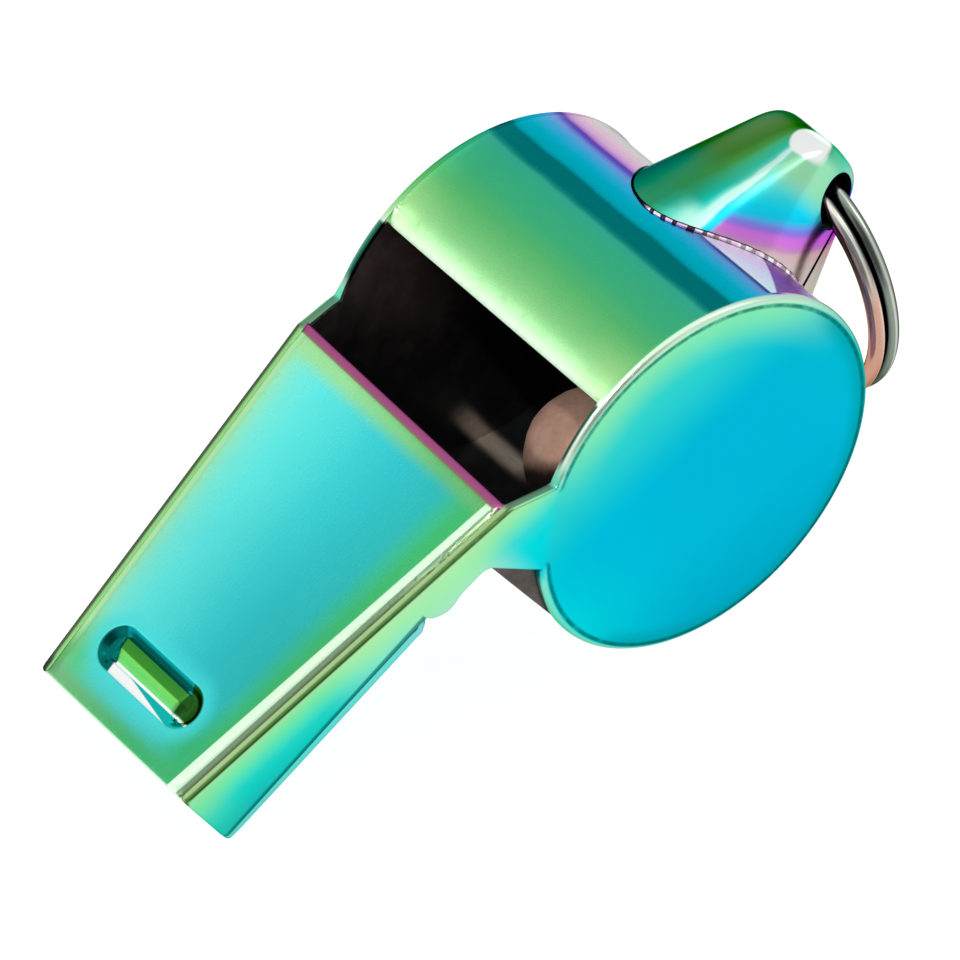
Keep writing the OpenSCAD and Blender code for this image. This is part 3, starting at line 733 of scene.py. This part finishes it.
bend_line = np.array([(u0 + k * 0.682, v0 + k * 0.7314) for k in np.arange(-4, 4.2, 0.5)
                      for o in (-0.75, -0.4, 0.0, 0.4, 0.75, 1.1)
                      for u0, v0 in [(-0.7314 * (11.1 + o), 0.6820 * (11.1 + o))]])
bend_line = bend_line[(np.hypot(bend_line[:, 0], bend_line[:, 1]) < 14)]


pv, pf, pi, pe = sheet_mesh(plate_loop, plate_face(-1), plate_outer, plate_inner, (0.9, 0.9), bend_line[within(bend_line, plate_loop)], 0.3)
make("side_plate_near", pv, pf, [PLATE, DARK], pi, pe, node="right_side_plate")
make("side_plate_far", pv * np.array([1, -1, 1]), [f[::-1] for f in pf], [PLATE, DARK], pi, pe, node="left_side_plate")

# ---------------------------------------------------------------- barrel band
WB = HALF - SHEET + 0.02
v0, v1 = BAND_R * math.radians(-184), BAND_R * math.radians(97.3)
band_loop = ring_of([(-WB, v0, 0.0), (WB, v0, 0.0), (WB, v1 - 0.2, 0.0), (WB, v1, 0.10), (-WB, v1, 0.10), (-WB, v1 - 0.2, 0.0)], 0.35)


def band_place(uv, depth):
    th, r = uv[:, 1] / BAND_R, BAND_R - depth
    return np.stack([r * np.cos(th), uv[:, 0], r * np.sin(th)], 1)


def band_outer(uv, D, R):
    a = np.clip(1 - (v1 - uv[:, 1]) / 1.1, 0, 1)
    flush = np.clip((uv[:, 0] - (WB - 0.5)) / 0.5, 0, 1) * np.clip((v1 - uv[:, 1]) / 0.8, 0, 1)
    return roll(D, R) + 0.16 * a * a - 0.085 * flush * flush


bv, bf, bi, be = sheet_mesh(band_loop, band_place, band_outer, lambda uv, D, R: SHEET - roll(D, np.full(len(D), 0.03)), (1.6, 0.34))
make("barrel_shell", bv, bf, [BAND, DARK], bi, be, node="barrel_band")


# ---------------------------------------------------------------- mouthpiece top
def half_at(x, z=10.5, o=0.50):
    return HALF - float(cheek_in(x, z)) - o


ends = []
for x in np.linspace(-TIP_X + 0.4, -REAR_X - 0.7, 24):
    ends.append((x, half_at(x), 0.62))
top_path = ([(-TIP_X, -half_at(-TIP_X), 0.10)] + [(x, -w, r) for x, w, r in ends] + [(REAR_LINE_A - REAR_LINE_B * 8.9, -half_at(-REAR_X), 0.66), (REAR_LINE_A + REAR_LINE_B * 8.9, half_at(-REAR_X), 0.66)]
            + [(x, w, r) for x, w, r in ends[::-1]] + [(-TIP_X, half_at(-TIP_X), 0.10)])
top_loop = ring_of(top_path, 0.2)
SLOT_X, SLOT_Y, SLOT_L, SLOT_R = -28.2, 0.62, 2.78, 1.32


def smooth(x, a, b):
    t = np.clip((x - a) / (b - a), 0, 1)
    return t * t * (3 - 2 * t)


def slot_depth(uv):
    u, t = uv[:, 0] - SLOT_X, uv[:, 1] - SLOT_Y
    sd = np.hypot(u, np.maximum(np.abs(t) - SLOT_L, 0)) - SLOT_R
    well = 0.40 * smooth(-sd, -0.06, 0.52)
    sill = 0.02 + 0.36 * np.maximum(u + 1.32, 0)
    well = np.where((u < -0.70) & (np.abs(t) < 3.0), np.minimum(well, sill), well)
    end = np.maximum(t - (2.80 + 0.40 * u), 0) * 1.4 + np.maximum(-2.45 - t, 0) * 0.5
    bar = 0.08 + np.where(u > 0.08, (u - 0.08) * 0.26, (0.08 - u) * 0.22) + end
    bar = bar + 0.3 * smooth(u, 0.72, 0.84) + 0.08 * smooth(-u, 0.70, 0.76)
    return np.where(sd < -0.25, np.minimum(well, bar), well)


slot_pts = []
for sd in (0.3, 0.16, 0.08, 0.0, -0.08, -0.16, -0.24, -0.32, -0.40, -0.46):
    q = SLOT_R + sd
    k = 26
    for s_, b_ in ((1, 0), (-1, math.pi)):
        slot_pts += [(SLOT_X + q * math.cos(b_ + math.pi * j / k), SLOT_Y + s_ * SLOT_L + q * math.sin(b_ + math.pi * j / k)) for j in range(k + 1)]
    slot_pts += [(SLOT_X + e * q, SLOT_Y + t) for e in (-1, 1) for t in np.linspace(-SLOT_L, SLOT_L, 30)[1:-1]]
slot_pts += [(SLOT_X + u, SLOT_Y + t) for u in (-0.76, -0.70, -0.6, -0.3, 0.02, 0.08, 0.14, 0.4, 0.62, 0.70, 0.76) for t in np.arange(-3.3, 3.31, 0.14)]
slot_pts += [(SLOT_X + u, SLOT_Y + 2.80 + 0.40 * u + o) for u in np.arange(-0.76, 0.80, 0.09) for o in (-0.04, 0.02, 0.10, 0.18)]
slot_pts += [(SLOT_X + u, SLOT_Y - 2.45 + o) for u in np.arange(-0.76, 0.80, 0.09) for o in (0.04, -0.03, -0.12, -0.3)]
slot_pts = np.array(slot_pts)


def top_place(uv, depth):
    return np.stack([uv[:, 0], uv[:, 1], TOP_Z - depth], 1)


def top_outer(uv, D, R):
    q = np.clip(1 - D / R, 0, 1)
    return np.where(R > 0.3, (0.235 + 0.05 * (uv[:, 0] > -9.6)) * q * q, roll(D, R)) + slot_depth(uv)


def top_inner(uv, D, R):
    flange = np.clip((0.62 - D) / 0.06, 0, 1) * np.clip((R - 0.3) / 0.2, 0, 1)
    rear = np.clip((uv[:, 0] + REAR_X + 0.62) / 0.06, 0, 1)
    return SHEET + np.maximum(flange * 0.66 * (1 - rear), rear * 0.36) + slot_depth(uv)


tv, tf, ti, te = sheet_mesh(top_loop, top_place, top_outer, top_inner, (0.8, 0.8), slot_pts)
make("mouth_cover", tv, tf, [TOP, DARK], ti, te, node="mouthpiece_top")

# ---------------------------------------------------------------- duct floor
fl = [(x, HALF - float(cheek_in(x, floor_z(x) + 0.3)) - 0.30 + 0.22 * (x + TIP_X) / 15.2) for x in np.linspace(-TIP_X, -16.7, 16)]
fr = [(x, HALF - float(cheek_in(x, floor_z(x) + 0.3)) - 0.66) for x in np.linspace(-15.98, THROAT_X, 7)]
w0, w1 = fl[0][1], fl[-1][1]
fl = [(-TIP_X, w0 - 0.35), (-TIP_X + 0.04, w0 - 0.18), (-TIP_X + 0.14, w0 - 0.06), (-TIP_X + 0.3, w0)] + [q for q in fl if q[0] > -TIP_X + 0.8]
fl += [(-16.6, w1 - 0.02), (-16.45, w1 - 0.09), (-16.3, w1 - 0.17), (-16.15, w1 - 0.26), (-16.03, w1 - 0.38)]
floor_loop = ring_of([(x, -w, 0.12) for x, w in fl + fr] + [(x, w, 0.12) for x, w in (fl + fr)[::-1]], 0.35)
fv, ff, fi, fe = sheet_mesh(floor_loop, lambda uv, d: np.stack([uv[:, 0], uv[:, 1], floor_z(uv[:, 0]) + SHEET - d], 1),
                            lambda uv, D, R: roll(D, R), lambda uv, D, R: SHEET - roll(D, R), (0.9, 1.2))
make("duct_floor", fv, ff, [FLOOR, FLOOR], fi, fe, node="windway_floor")

# ---------------------------------------------------------------- hanger
hull = bmesh.new()


def oval(k_in, n=96):
    ax, az = math.sin(math.radians(83.5)), math.cos(math.radians(83.5))
    for j in range(n):
        a = 2 * math.pi * j / n
        hh, hw = 7.27 * math.cos(a), 5.6 * math.sin(a)
        hull.verts.new((9.78 - k_in * ax + hh * math.cos(math.radians(83.5)), hw, -0.05 - k_in * az - hh * math.sin(math.radians(83.5))))


for k_in in (0.0, 3.0):
    oval(k_in)
for cx, cz, rad, half in [(15.5, -0.2, 2.82 - 0.6 * (1 - math.sin(p)), 2.44 - 0.6 * (1 - math.cos(p))) for p in np.radians((0, 22, 45, 68, 90))] + [(EYE_X, EYE_Z, 2.05, 2.19)]:
    for j in range(96):
        a = 2 * math.pi * j / 96
        for s_ in (-1, 1):
            hull.verts.new((cx + rad * math.cos(a), s_ * half, cz + rad * math.sin(a)))
got = bmesh.ops.convex_hull(hull, input=hull.verts)
tree = BVHTree.FromBMesh(hull)
hull.free()
NC, NP = 144, 64
CEN = np.array([11.2, 0.0, -0.5])


def shot(phi, psi):
    d = Vector((math.cos(psi), math.sin(psi) * math.sin(phi), math.sin(psi) * math.cos(phi)))
    hit = tree.ray_cast(Vector(CEN), d)
    return hit[3] if hit[0] is not None else 0.0, d


rad = np.zeros((NC, NP))
psi_end = np.zeros(NC)
for i in range(NC):
    phi = 2 * math.pi * i / NC
    lo_, hi_ = 0.3, 2.6
    for _ in range(26):
        m_ = (lo_ + hi_) / 2
        l_, d_ = shot(phi, m_)
        p_ = CEN + np.array(d_) * l_
        if math.hypot(p_[0], p_[2]) > BAND_R - 0.14:
            lo_ = m_
        else:
            hi_ = m_
    psi_end[i] = lo_
psi_end = np.mean([np.roll(psi_end, k) for k in (-1, 0, 1)], 0)
for i in range(NC):
    for j in range(NP):
        rad[i, j] = shot(2 * math.pi * i / NC, psi_end[i] * j / (NP - 1))[0]
rad[:, 0] = rad[:, 0].mean()
for _ in range(5):
    q = rad.copy()
    q[:, 1:-1] = 0.25 * (rad[:, :-2] + rad[:, 2:]) + 0.5 * rad[:, 1:-1]
    rad = 0.25 * (np.roll(q, 1, 0) + np.roll(q, -1, 0)) + 0.5 * q
    rad[:, 0] = rad[:, 0].mean()


def lug_shell(off):
    v = []
    for i in range(NC):
        phi = 2 * math.pi * i / NC
        for j in range(1, NP):
            psi = psi_end[i] * j / (NP - 1)
            d = np.array([math.cos(psi), math.sin(psi) * math.sin(phi), math.sin(psi) * math.cos(phi)])
            v.append(CEN + d * (rad[i, j] - off))
    return np.array(v)


lo_shell, li_shell = lug_shell(0.0), lug_shell(0.55)
m1 = NP - 1
verts = [*lo_shell, *li_shell, CEN + np.array([rad[0, 0], 0, 0]), CEN + np.array([rad[0, 0] - 0.55, 0, 0])]
faces = []
b0, tip_o, tip_i = NC * m1, 2 * NC * m1, 2 * NC * m1 + 1
for i in range(NC):
    n = (i + 1) % NC
    faces.append((tip_o, n * m1, i * m1))
    faces.append((tip_i, b0 + i * m1, b0 + n * m1))
    for j in range(m1 - 1):
        faces.append((i * m1 + j, n * m1 + j, n * m1 + j + 1, i * m1 + j + 1))
        faces.append((b0 + i * m1 + j + 1, b0 + n * m1 + j + 1, b0 + n * m1 + j, b0 + i * m1 + j))
    faces.append((i * m1 + m1 - 1, n * m1 + m1 - 1, b0 + n * m1 + m1 - 1, b0 + i * m1 + m1 - 1))
raw = make("lug_raw", verts, faces, [LUG])
bm = bmesh.new()
bm.from_mesh(raw.data)
bmesh.ops.recalc_face_normals(bm, faces=bm.faces)
bm.to_mesh(raw.data)
bm.free()


def solid_of(name, verts, faces):
    o = make(name, verts, faces, [SEAM])
    b = bmesh.new()
    b.from_mesh(o.data)
    bmesh.ops.recalc_face_normals(b, faces=b.faces)
    b.to_mesh(o.data)
    b.free()
    return o


# bore with eased mouths, and a fine slit for the seam
prof = [(0.0, -6.0), (1.7, -6.0), (1.62, -3.3), (1.52, -3.0), (1.5, -2.6), (1.5, 2.6), (1.52, 3.0), (1.62, 3.3), (1.7, 6.0), (0.0, 6.0)]
cv, cf, n = [], [], 48
for r_, y_ in prof[1:-1]:
    cv += [(EYE_X + r_ * math.cos(2 * math.pi * j / n), y_, EYE_Z + r_ * math.sin(2 * math.pi * j / n)) for j in range(n)]
for k in range(len(prof) - 3):
    cf += [(k * n + j, k * n + (j + 1) % n, (k + 1) * n + (j + 1) % n, (k + 1) * n + j) for j in range(n)]
cf += [tuple(range(n)), tuple(range((len(prof) - 3) * n, (len(prof) - 2) * n))]
bore = solid_of("bore", cv, cf)
t_ = math.radians(11.5)
sx, sz = np.array([math.cos(t_), -math.sin(t_)]), np.array([math.sin(t_), math.cos(t_)])
sv_, base = [], np.array([14.9, -2.62])
for a_, y_, c_ in [(a, y, c) for a in (-5.6, 0.9) for y in (-7.0, -2.0) for c in (-0.15, 0.15)]:
    p_ = base + sx * a_ + sz * c_
    sv_.append((p_[0], y_, p_[1]))
slit = solid_of("slit", sv_, [(0, 1, 3, 2), (4, 6, 7, 5), (0, 4, 5, 1), (2, 3, 7, 6), (0, 2, 6, 4), (1, 5, 7, 3)])
for cutter in (bore, slit):
    md = raw.modifiers.new("cut", "BOOLEAN")
    md.operation = "DIFFERENCE"
    md.solver = "EXACT"
    md.object = cutter
deps = bpy.context.evaluated_depsgraph_get()
cut = bpy.data.meshes.new_from_object(raw.evaluated_get(deps), depsgraph=deps)
lv = np.array([tuple(v.co) for v in cut.vertices])
lf = [tuple(p.vertices) for p in cut.polygons]
own_l = from_row(lv)
mid = np.array([own_l[list(f)].mean(0) for f in lf])
li = []
for f, c in zip(lf, mid):
    d = c - CEN
    psi = math.acos(np.clip(d[0] / np.linalg.norm(d), -1, 1))
    q_ = own_l[list(f)]
    nn = np.cross(q_[1] - q_[0], q_[2] - q_[0])
    nn = nn / (np.linalg.norm(nn) + 1e-12)
    hole = math.hypot(c[0] - EYE_X, c[2] - EYE_Z) < 1.7 and abs(nn[1]) < 0.45 and abs(c[1]) > 0.5
    phi = math.atan2(d[1], d[2]) % (2 * math.pi)
    i = int(round(phi / (2 * math.pi) * NC)) % NC
    j = min(NP - 1, int(round(psi / psi_end[i] * (NP - 1))))
    li.append(1 if (np.linalg.norm(d) < rad[i, j] - 0.2 or hole) else 0)
for o in (raw, bore, slit):
    bpy.data.objects.remove(o)
make("hanger_hood", own_l, lf, [LUG, SEAM], li, None, node="ring_lug", sharp=35)

# curled lip where the hood's foot meets the barrel, broken by small folds
fp = []
for c_ in lo_shell.reshape(NC, m1, 3):
    rr = np.hypot(c_[:, 0], c_[:, 2])
    j = min(int(np.nonzero(rr > BAND_R + 0.02)[0].max()), m1 - 2)
    f_ = (rr[j] - BAND_R - 0.02) / max(rr[j] - rr[j + 1], 1e-6)
    fp.append(c_[j] + (c_[j + 1] - c_[j]) * min(max(f_, 0.0), 1.0))
fp = np.array(fp)
lip_v, lip_f, lip_e, lip_r, run = [], [], [], [], 0.0
NS = 10
for i in range(NC):
    p, nx, pv_ = fp[i], fp[(i + 1) % NC], fp[i - 1]
    tan = (nx - pv_) / np.linalg.norm(nx - pv_)
    up = np.array([p[0], 0, p[2]]) / math.hypot(p[0], p[2])
    side = np.cross(tan, up)
    side /= np.linalg.norm(side)
    if np.dot(side, p - np.array([11.0, 0, -0.3])) < 0:
        side = -side
    fold = 0.5 + 0.5 * math.sin(i * 2.7) * math.sin(i * 0.9 + 0.6)
    thin = float(np.interp(p[1], [-5.6, -3.0, -0.6, 0.8, 3.0], [1.6, 1.15, 0.85, 0.4, 0.3]))
    wide, tall = (0.165 + 0.03 * fold) * thin, (0.13 + 0.03 * fold) * thin
    run += np.linalg.norm(p - pv_) if i else 0.0
    for k in range(NS):
        a = 2 * math.pi * k / NS
        lip_v.append(p + side * (0.16 * thin + wide * math.cos(a)) + up * (0.02 + tall * math.sin(a)))
        lip_e.append((math.degrees(a) + 180) % 360 - 180)
        lip_r.append(run)
for i in range(NC):
    for k in range(NS):
        lip_f.append((i * NS + k, ((i + 1) % NC) * NS + k, ((i + 1) % NC) * NS + (k + 1) % NS, i * NS + (k + 1) % NS))
LIP = Mat("lip_coat")
lx, ly, lz = LIP.xyz()
g1 = LIP.grain(1.15, 1.0, 0.5)
beat = LIP.math("SINE", LIP.mul(LIP.add(LIP.attr("run"), LIP.mul(g1, 0.5)), 2 * math.pi / 0.75))
dash = LIP.mul(LIP.step(beat, -0.45, -0.1), LIP.step(ly, 0.1, -0.4))
pale = LIP.ramp(g1, [(0.40, C(226, 190, 226)), (0.52, C(246, 238, 244)), (0.62, C(240, 246, 244)), (0.75, C(206, 150, 196))])
turn_ = LIP.attr("edge")
# fold_shade: painted shade on one side of the lip's round, by angle, at each end of the foot
fold_shade = LIP.high(LIP.mul(LIP.step(turn_, 56, 80), LIP.step(ly, 3.4, 2.5)), LIP.mul(LIP.step(turn_, 6, -16), LIP.step(ly, -2.4, -3.4)))
base_tone = LIP.mix(LIP.step(ly, -2.8, -4.2), C(78, 44, 80), C(170, 148, 160))
lip_tone = LIP.mix(dash, LIP.mix(LIP.step(ly, 0.4, -0.4), LIP.mix(LIP.step(ly, 3.4, 2.5), C(66, 140, 124), C(24, 24, 30)), base_tone), pale)
LIPM = coat_end(LIP, LIP.mix(fold_shade, lip_tone, C(22, 20, 26)), 0.22)
lip = make("hanger_foot_lip", lip_v, lip_f, [LIPM], None, lip_e)
along = lip.data.attributes.new("run", "FLOAT", "POINT")
along.data.foreach_set("value", np.array(lip_r, np.float32))
bm = bmesh.new()
bm.from_mesh(lip.data)
bmesh.ops.recalc_face_normals(bm, faces=bm.faces)
bm.to_mesh(lip.data)
bm.free()
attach(lip, "whistle")

# ---------------------------------------------------------------- split ring
hx = X_SHIFT + EYE_X * CP - EYE_Z * SP
hz = DISC_R + EYE_X * SP + EYE_Z * CP
drop = RING_R - math.sqrt(RING_R ** 2 - 2.1 ** 2) - 0.17
rcz = hz + drop - RING_R
N1, N2 = 400, 24
w_ = math.radians(9)
rv, rf, re, r2 = [], [], [], []
for i in range(N1 + 1):
    t = w_ + (4 * math.pi - 2 * w_) * i / N1
    s_ = np.clip((t - (2 * math.pi - w_)) / (2 * w_), 0, 1)
    ax = -0.485 + 0.97 * (s_ * s_ * (3 - 2 * s_))
    phi = t + math.radians(75)
    cy, cz = math.sin(phi), -math.cos(phi)
    ease = 1.0
    endd = min(i, N1 - i)
    if endd < 3:
        ease = (0.86, 0.95, 0.99)[endd]
    for k in range(N2):
        a = 2 * math.pi * k / N2
        rr_, xx = RING_R + 0.48 * ease * math.cos(a), ax + 0.48 * ease * math.sin(a)
        rv.append((hx + xx, cy * rr_, rcz + cz * rr_))
        re.append((math.degrees(a) + 180) % 360 - 180)
        r2.append(s_)
for i in range(N1):
    for k in range(N2):
        rf.append((i * N2 + k, i * N2 + (k + 1) % N2, (i + 1) * N2 + (k + 1) % N2, (i + 1) * N2 + k))
rf += [tuple(range(N2))[::-1], tuple(range(N1 * N2, (N1 + 1) * N2))]
ring = make("ring_coil", rv, rf, [STEEL], None, re, body="ring", node="split_ring", own_row=True)
second = ring.data.attributes.new("second", "FLOAT", "POINT")
second.data.foreach_set("value", np.array(r2, np.float32))
bm = bmesh.new()
bm.from_mesh(ring.data)
bmesh.ops.recalc_face_normals(bm, faces=bm.faces)
bm.to_mesh(ring.data)
bm.free()

# ---------------------------------------------------------------- cork ball
bm = bmesh.new()
bmesh.ops.create_icosphere(bm, subdivisions=6, radius=1.0)
pea_v = []
for v in bm.verts:
    n_ = v.co.normalized()
    dent = noise.noise(n_ * 1.7 + Vector((3.1, 0.4, 7.7))) * 0.09 + noise.noise(n_ * 6.0) * 0.035
    pit = max(0.0, noise.noise(n_ * 13.0 + Vector((9, 2, 5))) - 0.32) * 0.28
    pea_v.append(tuple((4.1 - 0.12 + min(0.11, dent) - pit) * c for c in n_))
pea_f = [tuple(v.index for v in f.verts) for f in bm.faces]
bm.free()
pea_row = np.array(pea_v) + np.array([X_SHIFT, 0, DISC_R - 5.8])
make("pea_ball", pea_row, pea_f, [CORK], body="pea", node="cork_pea", sharp=60, own_row=True)

# ---------------------------------------------------------------- throat wall, shape from the frame
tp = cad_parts["throat_plate"]
tm = tp.data
THR = Mat("throat_wall", metal=0.8)
co = THR.nt.nodes.new("ShaderNodeTexCoord")
sc = THR.nt.nodes.new("ShaderNodeVectorMath")
sc.operation = "SCALE"
sc.inputs["Scale"].default_value = 1000.0
THR.nt.links.new(co.outputs["Object"], sc.inputs[0])
THR.place = sc.outputs[0]
g_ = THR.grain(0.6, 5.0, 0.6)
h_ = THR.grain(4.0, 4.0, 0.6, (0.3, 1, 1))
THRM = THR.finish(THR.ramp(g_, [(0.3, C(60, 52, 50)), (0.5, C(82, 74, 70)), (0.75, C(104, 96, 92))]), THR.add(0.34, THR.mul(h_, 0.2)), h_, 0.05)
if len(tp.material_slots) == 0:
    tm.materials.append(THRM)
else:
    for sl in tp.material_slots:
        sl.material = THRM

bpy.context.view_layer.update()
